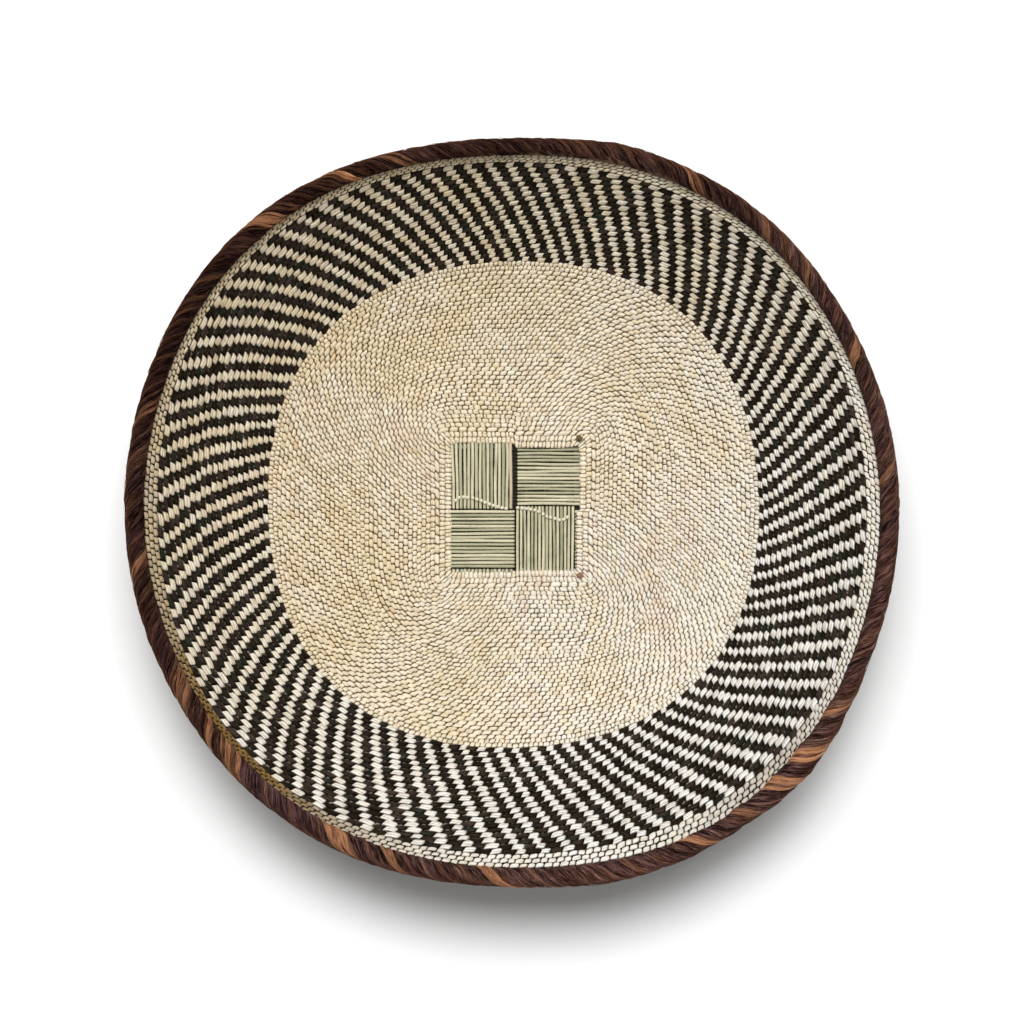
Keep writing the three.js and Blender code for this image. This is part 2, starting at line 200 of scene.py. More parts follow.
class BasketStage(bpy.types.PropertyGroup):
    """Floor, light and camera."""

    floor: colour_property("Floor", "Colour of the floor", 242, 242, 242)
    lamp: number_property("Lamps", "Strength of the two lamps together", 2.9)
    lamp_height: FloatProperty(
        name="Lamp height",
        description="Angle of both lamps above the floor",
        subtype="ANGLE",
        default=math.radians(66),
    )
    sky: number_property("Sky", "Strength of the light from all sides", 0.245)
    camera_height: length_property("Camera height", "Height of the camera above the floor", 2.4)
    lens: FloatProperty(name="Lens", description="Focal length", subtype="DISTANCE_CAMERA", default=139.6)


# The wall


def away_from(degrees, at):
    """How far round one direction is from another, -180 to 180."""
    return (degrees - at + 180) % 360 - 180


def hump(degrees, at, wide):
    """1 in one direction, falling off on both sides of it."""
    return np.exp(-((away_from(degrees, at) / wide) ** 2))


def stacked(*values):
    """Values side by side for every point."""
    return np.stack(np.broadcast_arrays(*values), -1)


def swell(lobes, a):
    """How far lobes reach out at angle a."""
    total = np.zeros_like(a)
    for count, size, peak in lobes:
        total = total + size * np.cos(count * (a - math.radians(peak)))
    return total


def share_of(value, low, high):
    """Where a value lies from low to high, 0 to 1."""
    return np.clip((value - low) / (high - low), 0, 1)


def smooth(value, low, high):
    """As share_of, easing in and out."""
    t = share_of(value, low, high)
    return t * t * (3 - 2 * t)


def wall(r, a, out=0.0, along=0.0):
    """Points of the wall: r picks the row and a the place on it. out is towards the inside of the bowl, and
    along is up its slope."""
    r, a, out, along = np.broadcast_arrays(*(np.asarray(v, float) for v in (r, a, out, along)))
    field = share_of(r, SQUARE_HALF, FIELD_RADIUS)
    band = share_of(r, FIELD_RADIUS, BAND_RADIUS)
    edge = share_of(r, BAND_RADIUS, EDGE_RADIUS)
    mix = (
        (1 - field, SQUARE_OUTLINE),
        (field - band, FIELD_OUTLINE),
        (band - edge, BAND_OUTLINE),
        (edge, RIM_OUTLINE),
    )
    lobe = sum(w * swell(outline[1], a) for w, outline in mix)
    shift_x = sum(w * outline[0][0] for w, outline in mix)
    shift_y = sum(w * outline[0][1] for w, outline in mix)
    c, s = np.cos(a), np.sin(a)
    share = share_of(r, TUCK_RADIUS, FIELD_RADIUS)
    corner = TUCK_RADIUS * math.sqrt(2) * SQUARE_CORNER * (1 - share) + FIELD_RADIUS * share
    power = 1 / np.maximum(0.5 - np.log2(corner / np.clip(r, TUCK_RADIUS, FIELD_RADIUS)), 1e-3)
    longest = np.maximum(abs(c), abs(s))
    rounded = ((abs(c) / longest) ** power + (abs(s) / longest) ** power) ** (-1 / power) / longest
    square = np.where(r <= TUCK_RADIUS, 1 / longest, np.where(r >= FIELD_RADIUS, 1, rounded))
    steepest = BOWL_POWER * (RIM_HEIGHT - FLOOR_MIDDLE) / (RIM_RADIUS - FLOOR_RADIUS)
    reach = share_of(r, FLOOR_RADIUS, RIM_RADIUS)
    slope = np.arctan(steepest * reach ** (BOWL_POWER - 1))
    rise = (RIM_HEIGHT - FLOOR_MIDDLE) * reach**BOWL_POWER + np.maximum(r - RIM_RADIUS, 0) * steepest
    far = r * square + lobe - out * np.sin(slope) + along * np.cos(slope)
    high = FLOOR_MIDDLE + rise + out * np.cos(slope) + along * np.sin(slope)
    return stacked(MIDDLE[0] + shift_x + far * c, MIDDLE[1] + shift_y + far * s, high)


def rib_places(r, number, count):
    """Where the ribs stand, counted in stitches: two matching lists over one turn."""
    a = np.linspace(0, TURN, WALL_STEPS + 1)
    steps = np.linalg.norm(np.diff(wall(r, a)[:, :2], axis=0), axis=1)
    length = np.concatenate([[0], np.cumsum(steps)])
    spread = share_of(r, SQUARE_HALF, FIELD_RADIUS)
    turns = length / length[-1] * (1 - spread) + a / TURN * spread
    row = number - FIELD_ROWS
    first, *others = SWAY
    grown = 0.6 + 0.4 * share_of(row, 0, 12)
    lobes = [(first[0], first[1] * grown, first[2]), *others]
    drift = FIRST_PAIR + (BAND_DRIFT if row > 0 else FIELD_DRIFT) * row
    return count * turns + 2 * swell(lobes, a) * spread * count / BAND_COUNT + drift, a


def angles_at(places, stitch):
    """The angle at which each stitch lies."""
    known, a = places
    count = known[-1] - known[0]
    return np.interp((stitch - known[0]) % count + known[0], known, a)


# Meshes

# A closed body. lay and mark are three values each at every point, which its finish reads, and cells are
# the corners of its faces on the map that its colours can be baked to
Part = namedtuple("Part", "points faces lay mark cells", defaults=(None,))


def grid(rings, sides, closed):
    """Quads round a body that is swept through rings of points."""
    i = np.arange(rings if closed else rings - 1)[:, None]
    j = np.arange(sides)[None]
    here, after, k = i * sides, (i + 1) % rings * sides, (j + 1) % sides
    return stacked(here + j, after + j, after + k, here + k).reshape(-1, 4)


def swept(rings, lay, mark, closed=False, cells=None):
    """A closed body through rings of points, (rings, sides, 3), with its faces looking out."""
    count, sides = rings.shape[:2]
    points = rings.reshape(-1, 3)
    faces = [grid(count, sides, closed)]
    if not closed:
        first = np.arange(sides)[::-1]
        faces.append(np.stack([first, first[::-1] + (count - 1) * sides]))
    p = points[faces[0]]
    around = np.cross(p[:, 0], p[:, 1]) + np.cross(p[:, 1], p[:, 2]) + np.cross(p[:, 2], p[:, 3])
    around += np.cross(p[:, 3], p[:, 0])
    if np.einsum("ij,ij->", p.mean(1) - points.mean(0), around) < 0:
        faces = [face[:, ::-1] for face in faces]
        cells = None if cells is None else cells.reshape(-1, 4, 2)[:, ::-1].reshape(-1, 2)
    lay, mark = (np.broadcast_to(v, rings.shape).reshape(-1, 3) for v in (lay, mark))
    return Part(points, faces, lay, mark, cells)


def side_by_side(first, count, total, steps_u, steps_v):
    """Map corners of count cells of steps_u by steps_v quads, side by side from cell first of total."""
    columns = math.ceil(math.sqrt(total / 2))
    lines = math.ceil(total / columns)
    cell = first + np.arange(count)[:, None, None, None]
    i = np.arange(steps_u)[None, :, None, None] + np.array([0, 1, 1, 0])
    j = np.arange(steps_v)[None, None, :, None] + np.array([0, 0, 1, 1])
    margin = 0.03
    u = (cell % columns + margin + (1 - 2 * margin) * i / steps_u) / columns
    v = (cell // columns + margin + (1 - 2 * margin) * j / steps_v) / lines
    return stacked(u, v).reshape(-1, 2)


def set_down(name, data):
    """An object in the scene, from its mesh, lamp or camera."""
    obj = bpy.data.objects.new(name, data)
    bpy.context.collection.objects.link(obj)
    return obj


def build_piece(name, parts, material, nodes=()):
    """One object from its parts, riding on the basket in place of the solids that it names."""
    start, faces = 0, {}
    for part in parts:
        for group in part.faces:
            faces.setdefault(group.shape[1], []).append(group + start)
        start += len(part.points)
    points, lay, mark = (
        np.concatenate([getattr(part, field) for part in parts]).astype(np.float32)
        for field in ("points", "lay", "mark")
    )
    groups = [np.concatenate(group) for group in faces.values()]
    sizes = np.concatenate([np.full(len(group), group.shape[1]) for group in groups])
    corners = np.concatenate([group.ravel() for group in groups]).astype(np.int32)
    mesh = bpy.data.meshes.new(name)
    mesh.vertices.add(len(points))
    mesh.vertices.foreach_set("co", points.ravel())
    mesh.loops.add(len(corners))
    mesh.loops.foreach_set("vertex_index", corners)
    mesh.polygons.add(len(sizes))
    mesh.polygons.foreach_set("loop_start", (np.cumsum(sizes) - sizes).astype(np.int32))
    mesh.polygons.foreach_set("use_smooth", np.ones(len(sizes), bool))
    mesh.update(calc_edges=True)
    for label, values in (("lay", lay), ("mark", mark)):
        layer = mesh.attributes.new(label, "FLOAT_VECTOR", "POINT")
        layer.data.foreach_set("vector", values.ravel())
    if parts[0].cells is not None:
        uv = mesh.uv_layers.new(name="OFBake")
        uv.data.foreach_set("uv", np.concatenate([p.cells for p in parts]).astype(np.float32).ravel())
    mesh.materials.append(material)
    obj = set_down(name, mesh)
    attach(obj, "root")
    if nodes:
        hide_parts(*nodes)


# Finishes


class Wiring:
    """The nodes of a material or of the world, joined up as they are made."""

    def __init__(self, tree):
        self.tree = tree

    def feed(self, socket, value):
        if isinstance(value, bpy.types.NodeSocket):
            self.tree.links.new(value, socket)
        else:
            socket.default_value = value

    def put(self, kind, inputs, **settings):
        """A new node. An input is a value, or an output of another node."""
        node = self.tree.nodes.new(kind)
        for key, value in settings.items():
            setattr(node, key, value)
        for key, value in inputs.items():
            self.feed(node.inputs[key], value)
        return node

    def sums(self, operation, first, second=0.0):
        return self.put("ShaderNodeMath", {0: first, 1: second}, operation=operation).outputs[0]

    def times(self, first, second):
        return self.sums("MULTIPLY", first, second)

    def plus(self, first, second):
        return self.sums("ADD", first, second)

    def spread(self, value, low, high, to_low=0.0, to_high=1.0):
        """A value from low to high, turned into one from to_low to to_high."""
        return self.put("ShaderNodeMapRange", {0: value, 1: low, 2: high, 3: to_low, 4: to_high}).outputs[0]

    def body_place(self):
        return self.put("ShaderNodeTexCoord", {}).outputs["Object"]

    def seen_directly(self):
        """1 for rays that show the background: from the camera, a reflection or clear glass."""
        path = self.put("ShaderNodeLightPath", {}).outputs
        reflected = self.sums("MAXIMUM", path["Is Glossy Ray"], path["Is Transmission Ray"])
        return self.sums("MAXIMUM", path["Is Camera Ray"], reflected)


class Finish(Wiring):
    """A material under construction, with its Principled shader."""

    def __init__(self, name):
        self.material = bpy.data.materials.new(name)
        self.material.use_nodes = True
        super().__init__(self.material.node_tree)
        self.shader = self.tree.nodes["Principled BSDF"]
        self.colour = None

    def three(self, name):
        """The three values that a piece keeps under this name."""
        read = self.put("ShaderNodeAttribute", {}, attribute_name=name)
        return self.put("ShaderNodeSeparateXYZ", {0: read.outputs["Vector"]}).outputs

    def noise(self, vector, scale, detail=2.0, roughness=0.5):
        inputs = {"Vector": vector, "Scale": scale, "Detail": detail, "Roughness": roughness}
        return self.put("ShaderNodeTexNoise", inputs).outputs[0]

    def streaks(self, along, across, detail, roughness, *levels):
        """Fibres: noise with these scales along a strand and across it, spread over levels as in spread."""
        far, side, seed = self.three("lay")
        scaled = {0: self.times(far, along), 1: self.times(side, across), 2: seed}
        run = self.put("ShaderNodeCombineXYZ", scaled).outputs[0]
        return self.spread(self.noise(run, 1.0, detail, roughness), *levels)

    def lower_right(self, right, down):
        """How far a place is to the right of the middle and below it, with a weight for each."""
        x, y, _ = self.put("ShaderNodeSeparateXYZ", {0: self.body_place()}).outputs
        return self.sums("SUBTRACT", self.times(x, right), self.times(y, down))

    def ramp(self, value, *stops):
        """Colours by a value, from stops of (place, colour)."""
        node = self.put("ShaderNodeValToRGB", {0: value})
        marks = node.color_ramp.elements
        while len(marks) < len(stops):
            marks.new(0.5)
        for mark, (place, colour) in zip(marks, stops):
            mark.position = place
            mark.color = (*colour, 1)
        return node.outputs[0]

    def blend(self, share, first, second):
        node = self.put("ShaderNodeMix", {0: share}, data_type="RGBA")
        for key, value in ((6, first), (7, second)):
            self.feed(node.inputs[key], value if isinstance(value, bpy.types.NodeSocket) else (*value, 1))
        return node.outputs[2]

    def stain(self, tint, value, *levels):
        """Turns the colour so far towards a tint, by a value spread over levels as in spread."""
        share = self.spread(value, *levels) if levels else value
        self.colour = self.blend(share, self.colour, tint)

    def surface(self, roughness, height, depth, **constants):
        """Feeds the shader with the colour so far. The bump is depth deep, in metres."""
        bump = self.put("ShaderNodeBump", {"Strength": 1.0, "Distance": depth, "Height": height})
        self.feed(self.shader.inputs["Base Color"], self.colour)
        self.feed(self.shader.inputs["Roughness"], roughness)
        self.feed(self.shader.inputs["Normal"], bump.outputs[0])
        for key, value in constants.items():
            self.shader.inputs[key.replace("_", " ")].default_value = value
        return self.material


def palm_finish(name, deep, chalk, lines, sides=0.0):
    """Split palm leaf. chalk is the pale share at the upper left and at the lower right, partly bleaching
    and partly painted light. lines and sides are how dark a strand's veins and sides are, the sides being
    painted shade, and deep is the colour between strands, which is painted shade."""
    tints = bpy.context.scene.basket_colours
    f = Finish(name)
    across = f.three("lay")[1]
    stitch, depth, aged = f.three("mark")
    fibres = f.streaks(0.12, 1.8, 3.0, 0.6, 0.36, 0.64)
    where = f.body_place()
    side = f.plus(f.lower_right(2.4, 1.5), f.spread(f.noise(where, 9.0), 0.3, 0.7, -0.2, 0.2))
    leaves = f.noise(where, 16.0, 3.0, 0.6)
    spots = f.noise(where, 60.0, 2.0, 0.5)
    warm = f.ramp(stitch, (0.0, tints.straw), (0.4, tints.wheat), (0.8, tints.wheat), (1.0, tints.cream))
    cool = f.ramp(stitch, (0.0, tints.cream), (0.35, tints.ivory), (0.8, tints.ivory), (1.0, tints.pale))
    # Darker and warmer at the upper left, paler at the lower right: partly bleaching, partly painted light
    f.colour = f.blend(f.spread(side, -0.4, 0.45), warm, cool)
    patch = f.ramp(leaves, (0.3, tints.leaf), (0.42, tints.wheat), (0.56, tints.ivory), (0.68, tints.blush))
    f.stain(patch, spots, 0.3, 0.7, 0.0, 0.55)
    # Chalk-pale towards the lower right: partly bleaching, partly painted light
    f.stain(tints.chalk, f.lower_right(0.8, 2.2), -0.2, 0.4, *chalk)
    f.stain(tone(150, 122, 82), fibres, 0.0, 0.42, 0.4, 0.0)
    veins = f.sums("COSINE", f.plus(f.times(across, 1.5 * TURN), f.times(fibres, 3.0)))
    f.stain(tone(112, 88, 56), veins, -1.0, -0.3, lines, 0.0)
    f.stain(tone(132, 102, 52), aged, 0.0, 0.8)
    # Painted shade at a strand's sides
    f.stain(deep, f.sums("ABSOLUTE", across), 0.76, 0.98, 0.0, sides)
    # Painted shade where a strand dives behind the ribs
    f.stain(deep, depth, 0.18, 0.55, 0.0, 0.96)
    return f.surface(f.spread(fibres, 0, 1, 0.8, 0.62), fibres, 0.00022, Specular_IOR_Level=0.25)


def dyed_finish():
    """Dyed palm: near black, browner where the dye is thin, with brown fibres partly painted as sheen."""
    tints = bpy.context.scene.basket_colours
    black = (0.004, 0.003, 0.002)
    f = Finish("dyed_palm")
    stitch, depth, _ = f.three("mark")
    fibres = f.streaks(0.12, 1.8, 3.0, 0.6, 0.36, 0.64)
    thin = f.noise(f.body_place(), 40.0, 3.0, 0.6)
    stops = (0.0, tints.dyed_green), (0.25, tints.dyed), (0.7, tints.dyed), (1.0, tints.dyed_plum)
    f.colour = f.ramp(stitch, *stops)
    f.stain(tints.dyed_plum, thin, 0.5, 0.75, 0.0, 0.6)
    f.stain(black, fibres, 0.0, 0.5, 0.6, 0.0)
    # Brown fibres: partly their own colour, partly a painted sheen
    f.stain(tone(84, 70, 52), fibres, 0.7, 1.0, 0.0, 0.5)
    # Painted shade where a strand dives behind the ribs
    f.stain(black, depth, 0.22, 0.6, 0.0, 0.95)
    return f.surface(f.spread(fibres, 0, 1, 0.75, 0.55), fibres, 0.0002, Specular_IOR_Level=0.06)


def rib_finish(name, first, second, dark):
    """A rib of split stem: streaks along it, fraying and painted shade at its sides and under other ribs."""
    f = Finish(name)
    rib, depth, blush = f.three("mark")
    streaks = f.streaks(0.05, 2.6, 4.0, 0.65, 0.34, 0.66)
    level = f.plus(f.times(rib, 0.7), f.times(streaks, 0.3))
    f.colour = f.ramp(level, (0.2, first), (0.8, second))
    f.stain(tone(196, 166, 150), blush)
    f.stain(dark, streaks, 0.0, 0.35, 0.3, 0.0)
    f.stain(dark, f.noise(f.body_place(), 90.0, 3.0, 0.6), 0.55, 0.75, 0.0, 0.25)
    fray_and_shade = f.plus(depth, f.streaks(0.45, 1.0, 3.0, 0.6, 0.3, 0.7, -0.1, 0.1))
    # Painted shade at a rib's sides and low faces and where it runs under other ribs, with fraying
    f.stain(dark, fray_and_shade, 0.16, 0.44, 0.0, 0.97)
    return f.surface(f.spread(streaks, 0, 1, 0.65, 0.45), streaks, 0.00014, Specular_IOR_Level=0.12)


def bark_finish():
    """Strips of bark: coarse fibres, near black to mahogany, with the tan of the inner face in places."""
    tints = bpy.context.scene.basket_colours
    f = Finish("bark")
    along = f.three("lay")[0]
    wrap, tan, plum = f.three("mark")
    fibres = f.streaks(0.1, 2.0, 4.0, 0.7, 0.34, 0.66)
    hairs = f.streaks(0.16, 5.5, 3.0, 0.7, 0.34, 0.66)
    patches = f.spread(f.noise(f.body_place(), 12.0), 0.3, 0.7, -0.35, 0.35)
    faded = f.spread(f.plus(f.lower_right(2.2, 1.6), patches), -0.5, 0.6)
    groove = f.blend(faded, tints.bark_dark, tone(20, 8, 8))
    base = f.blend(faded, tints.bark, tints.bark_grey)
    crest = f.blend(faded, tints.bark_red, tints.bark_worn)
    level = f.plus(f.times(wrap, 0.35), f.times(fibres, 0.65))
    f.colour = f.blend(f.spread(level, 0.3, 0.54), groove, base)
    f.stain(crest, level, 0.5, 0.85, 0.0, 0.9)
    # Redder towards the outer side, and purple towards the inner side where it has faded
    f.stain(tone(108, 54, 28), along, 9.0, 14.0, 0.0, 0.4)
    f.stain(tone(56, 44, 52), f.times(faded, f.spread(along, -1.0, 5.0, 0.3, 0.0)))
    # Painted plum sheen along the fibres
    f.stain(tints.bark_plum, f.times(plum, f.spread(fibres, 0.3, 0.9, 0.0, 0.8)))
    f.stain(tints.bark_tan, f.times(tan, f.spread(f.plus(fibres, f.times(hairs, 0.4)), 0.05, 0.6)))
    f.stain(groove, f.times(f.spread(hairs, 0.0, 0.5, 0.95, 0.0), f.spread(tan, 0.3, 1.0, 1.0, 0.45)))
    # Painted glints: bright thin lines on the top fibres
    f.stain(f.blend(faded, tone(96, 58, 40), tone(186, 150, 136)), hairs, 0.74, 1.0, 0.0, 0.8)
    f.feed(f.shader.inputs["Specular IOR Level"], f.spread(hairs, 0.6, 1.0, 0.01, 0.35))
    height = f.plus(fibres, f.times(hairs, 0.6))
    return f.surface(f.spread(fibres, 0, 1, 0.6, 0.4), height, 0.0005)


def plain_fibre_finish(name, light, dark, scale, depth):
    """Twisted fibre or peeled rod, with grain and stains. depth is that of the grain, in metres."""
    f = Finish(name)
    where = f.body_place()
    grain = f.noise(where, scale, 4.0, 0.7)
    f.colour = f.blend(f.spread(grain, 0.35, 0.6, 0.65, 0.0), light, dark)
    f.stain(dark, f.noise(where, scale / 9, 2.0, 0.5), 0.5, 0.8, 0.0, 0.4)
    return f.surface(f.spread(grain, 0.3, 0.7, 0.8, 0.6), grain, depth)


# Twined rows

Row = namedtuple("Row", "number low high count")
# rings are the places along a stitch that it is swept through, in stitches from its middle, and profile is
# its cross-section. fill is its width as a share of the row's, and a higher power makes its ends blunter.
# lean, twist and slant tilt it, crown raises its middle, and dive sets how soon it turns behind the ribs
Stitch = namedtuple("Stitch", "rings profile fill power lean twist slant crown dive")

FIELD_STITCH = Stitch(
    (-0.62, -0.54, -0.46, -0.36, -0.2, 0, 0.2, 0.36, 0.46, 0.54, 0.62, 1.0),
    ((-1, 0), (-0.66, 0.7), (0, 1), (0.66, 0.7), (1, 0), (0.55, -0.7), (-0.55, -0.7)),
    fill=1.08, power=3, lean=0.1, twist=0.1, slant=0.09, crown=0.0004, dive=0.14,
)
EDGE_STITCH = FIELD_STITCH._replace(fill=0.96, crown=0.0003, dive=0.16)
BAND_STITCH = Stitch(
    (-0.6, -0.54, -0.47, -0.4, -0.22, 0, 0.22, 0.4, 0.47, 0.54, 0.6, 1.0),
    (
        (-1, 0), (-0.84, 0.6), (-0.58, 0.96), (-0.3, 0.78), (0, 1), (0.3, 0.78), (0.58, 0.96), (0.84, 0.6),
        (1, 0), (0.55, -0.7), (-0.55, -0.7),
    ),
    fill=1.1, power=5, lean=0.1, twist=0.12, slant=0.11, crown=0.0004, dive=0.13,
)
DYED_STITCH = BAND_STITCH._replace(fill=0.94, crown=0.0002, dive=0.15)
STITCH_TIP = 0.62  # where a stitch has narrowed to nothing, in stitches from its middle
RIB_GAP = 0.00005  # between the ribs inside one course and those inside the next
HOOP_COVER = 0.0012  # how far short of the rim's middle the last ribs end, between the hoops
# Half the cross-section of a rib in the weave, as (sideways share, height in metres)
FLAT_RIB = ((-1, 0.0001), (-0.5, 0.0005), (0, 0.0007), (0.5, 0.0005))


def reached(table, number):
    """The last entry of a table that begins at this number or before it."""
    return [entry for entry in table if entry[0] <= number][-1]


def rows_of(course):
    """The rows of one course, from the square outward."""
    names = list(COURSES)
    first = sum(COURSES[name] for name in names[: names.index(course)])
    rows = []
    for number in range(first, first + COURSES[course]):
        start, radius, pitch = reached(ROW_WIDTHS, number)
        low = radius + (number - start) * pitch
        high = low + pitch
        if number == 0:
            low, high = OPENING_HALF, OPENING_HALF + FIRST_ROW
        elif number == 1:
            low = OPENING_HALF + FIRST_ROW
        rows.append(Row(number, low, high, reached(ROW_COUNTS, number)[1]))
    return rows


def there_and_back(t):
    """Rises by 1 over a stitch in front and falls by 1 over the next one behind."""
    t = (t + 0.5) % 2 - 0.5
    return np.where(t <= 0.5, t, 1 - t)


def drawn_in(r, a):
    """Rows next to the square reach in over it by more on some sides than on others."""
    degrees, reach = np.array(OPENING_INSETS).T
    inset = np.interp(np.degrees(a) % 360, degrees, reach)
    return r - inset * (1 - share_of(r, SQUARE_HALF, FLOOR_RADIUS))


def drawn_out(r, a):
    """The last rows reach further out by the top of the rim."""
    return r + EDGE_STRETCH * hump(np.degrees(a), *EDGE_STRETCH_AT) * share_of(r, BAND_RADIUS, EDGE_RADIUS)


def set_square(a, r, middle):
    """Turns the stitches next to the square to stand at right angles to its sides."""
    quarter = TURN / 4
    off = (a + quarter / 2) % quarter - quarter / 2
    weight = 1 - share_of(middle, SQUARE_HALF, SQUARE_HALF + 5 * FIELD_ROW)
    weight = weight * smooth(abs(np.tan(off)), 1.0, 0.8)
    return a + (np.arctan(np.tan(off) * middle / r) - off) * weight


def meander(a, middle):
    """Rows wander a little in and out, each nearly as its neighbours do."""
    x, y = middle * np.cos(a) * 1000, middle * np.sin(a) * 1000
    waves = np.sin(x * 0.31 + y * 0.12) + np.sin(y * 0.37 - x * 0.09 + 2) + np.sin((x + y) * 0.52 + 4)
    held = smooth(middle, SQUARE_HALF, FLOOR_RADIUS) * smooth(middle, EDGE_RADIUS, BAND_RADIUS)
    return 0.00016 * waves * held


def strand(row, which, stitch, first_cell, cells):
    """One of a row's two strands: a closed loop that lies in front of the ribs for every other stitch."""
    sizes = bpy.context.scene.basket_sizes
    rng = np.random.default_rng(1000 * sizes.seed + row.number)
    loose = 1.6 if row.number < COURSES["square_rows"] else 1
    slips = rng.uniform(-1, 1, row.count) * sizes.unevenness * loose
    tones = rng.uniform(0, 1, (row.count, 2))
    fat = 1 + rng.normal(0, 0.07, (row.count, 2))
    lift = 1 + rng.normal(0, 0.07, (row.count, 2))
    turns = row.count // 2
    t = np.tile(stitch.rings, turns)
    number = np.repeat(np.arange(turns) * 2 + which, len(stitch.rings)) % row.count
    behind = np.where(t > STITCH_TIP, 1, 0)
    tones, fat, lift = (values[number, behind] for values in (tones, fat, lift))
    # Its width, narrow at both ends
    near = np.minimum(abs(t), 2 - abs(t))
    from_middle = np.minimum(near, 1 - near)
    middle, pitch = (row.low + row.high) / 2, row.high - row.low
    half = pitch / 2 * stitch.fill * fat * (1 - (from_middle / STITCH_TIP) ** stitch.power) ** 0.5
    half = half * (1 - 0.3 * smooth(abs(near - 0.5), 0.09, 0.0))
    # Its height, in front of the ribs and then behind them
    turn = math.pi * smooth(near, 0.5 - stitch.dive, 0.5 + stitch.dive)
    crown = stitch.crown * (1 - share_of(near, 0, 0.4) ** 2)
    x, y = np.array(stitch.profile, float).T
    out = (np.cos(turn) * lift * sizes.strand_lift + crown)[:, None] + y * sizes.strand_thick
    # Its place among the ribs, where short stitches stand more upright
    at = number + t
    at = at + np.interp((at + 0.5) % row.count, np.arange(row.count + 1), [*slips, slips[0]])
    step = STAGGER * row.number if row.number >= ALIGNED_ROWS else 0
    long = middle * TURN / row.count / pitch
    tilt = min(long / 1.5, 1) ** 2
    ribs = at[:, None] + step - stitch.slant * tilt * x * smooth(near, 0.8, 0.3)[:, None]
    a = angles_at(rib_places(middle, row.number, row.count), ribs)
    down = np.where((t > 0) & (t < 1), 1, -1)
    lean = (stitch.lean * there_and_back(t) + stitch.twist * np.sin(turn) * down) * tilt
    r = middle - (pitch * lean)[:, None] + x * half[:, None]
    a = set_square(a, r, middle)
    r = drawn_out(drawn_in(r, a), a) + meander(a, middle)
    along = (at * middle * TURN / row.count * 1000)[:, None]
    lay = stacked(along, x, (row.number * 7.31 + tones * 50)[:, None])
    # depth: how far a strand has turned behind the ribs, which the finishes paint as shade
    depth = 1 - abs(out) / (sizes.strand_lift + sizes.strand_thick)
    mark = stacked(tones[:, None], depth, edge_age(row, a) * (0.75 + 0.25 * tones[:, None]))
    corners = side_by_side(first_cell, turns, cells, len(stitch.rings), len(x))
    return swept(wall(r, a, out), lay, mark, closed=True, cells=corners)


def edge_age(row, a):
    """How much the rows by the rim have darkened, most of all at the lower left."""
    if row.number < FIELD_ROWS + BAND_ROWS:
        return 0 * a
    return np.clip(sum(share * hump(np.degrees(a), at, wide) for at, wide, share in AGED_PLACES), 0, 1)


def build_rows(course, stitches, finishes, slots):
    """The two strands of every row of a course, as one piece each."""
    rows = rows_of(course)
    cells = sum(row.count // 2 for row in rows)
    strands = zip(("first", "second"), stitches, finishes, slots)
    for which, (label, stitch, finish, slot) in enumerate(strands):
        parts, cell = [], 0
        for row in rows:
            parts.append(strand(row, which, stitch, cell, cells))
            cell += row.count // 2
        build_piece(f"{course}_{label}_strands", parts, finish, [course])


def build_rib_layer(course, finish, nodes):
    """The ribs inside a course, side by side, seen where the stitches leave a gap."""
    rows = rows_of(course)
    count = rows[-1].count
    radii = np.array([rows[0].low + RIB_GAP, *(row.high for row in rows)])
    if course == "edge_rows":
        radii[-1] = RIM_RADIUS - HOOP_COVER
    numbers = np.array([rows[0].number - 0.5, *(row.number + 0.5 for row in rows)])
    steps = np.arange(count * 8)
    a = np.stack([angles_at(rib_places(r, n, count), steps / 8) for r, n in zip(radii, numbers)], -1)
    side, crest = np.array(FLAT_RIB)[steps % 4].T[..., None]
    front = wall(drawn_out(radii, a), a, crest)
    back = wall(drawn_out(radii, a), a, -crest)
    rings = np.concatenate([front, back[:, ::-1]], 1)
    rib = steps // 4
    tones = np.random.default_rng(rows[0].number).uniform(0, 1, rib.max() + 1)[rib]
    far = np.concatenate([radii, radii[::-1]]) * 1000
    lay = stacked(far, side, (rib * 3.7)[:, None])
    # The sides of each rib are marked deep, which the finish paints as shade
    mark = stacked(tones[:, None], abs(side) * 0.7, np.zeros_like(far))
    corners = side_by_side(0, count * 2, count * 2, 4, rings.shape[1])
    part = swept(rings, lay, mark, closed=True, cells=corners)
    build_piece(f"{course}_ribs", [part], finish, nodes)


# The square

# first is the outer side of a bundle's first rib, and pitch the width of a rib. At its turn a bundle passes
# from behind the others to in front of them, or back where lift is 1
Bundle = namedtuple("Bundle", "name upright first pitch lift turn")

SQUARE_RIBS = 16
BUNDLES = (
    Bundle("left", True, -0.0380, 0.002306, -1, -0.0004),
    Bundle("right", True, 0.0007, 0.002206, 1, 0.0016),
    Bundle("upper", False, 0.0019, 0.002163, -1, 0.0014),
    Bundle("lower", False, -0.0359, 0.002194, 1, 0.0002),
)
RIB_PROFILE = (
    (-1, -0.1), (-0.72, 0.66), (-0.26, 1), (0.26, 1), (0.72, 0.66), (1, -0.1), (0.6, -0.9), (-0.6, -0.9),
)
# The ribs deep in the gap between two bundles, painted near black as shade: whether upright, place
# sideways, half width and height
GAP_RIBS = ((True, -0.0002, 0.0014, 0.0009), (False, 0.0006, 0.0018, 0.0006))
# Where a rib of the square has its rings, most of them where it bends
HALF_RIB = np.concatenate([[-0.0446], np.linspace(-0.042, -0.037, 6), np.linspace(-0.0355, -0.0035, 12)])
RIB_STATIONS = np.concatenate([HALF_RIB, np.linspace(-0.0027, 0.0027, 12), -HALF_RIB[::-1]])


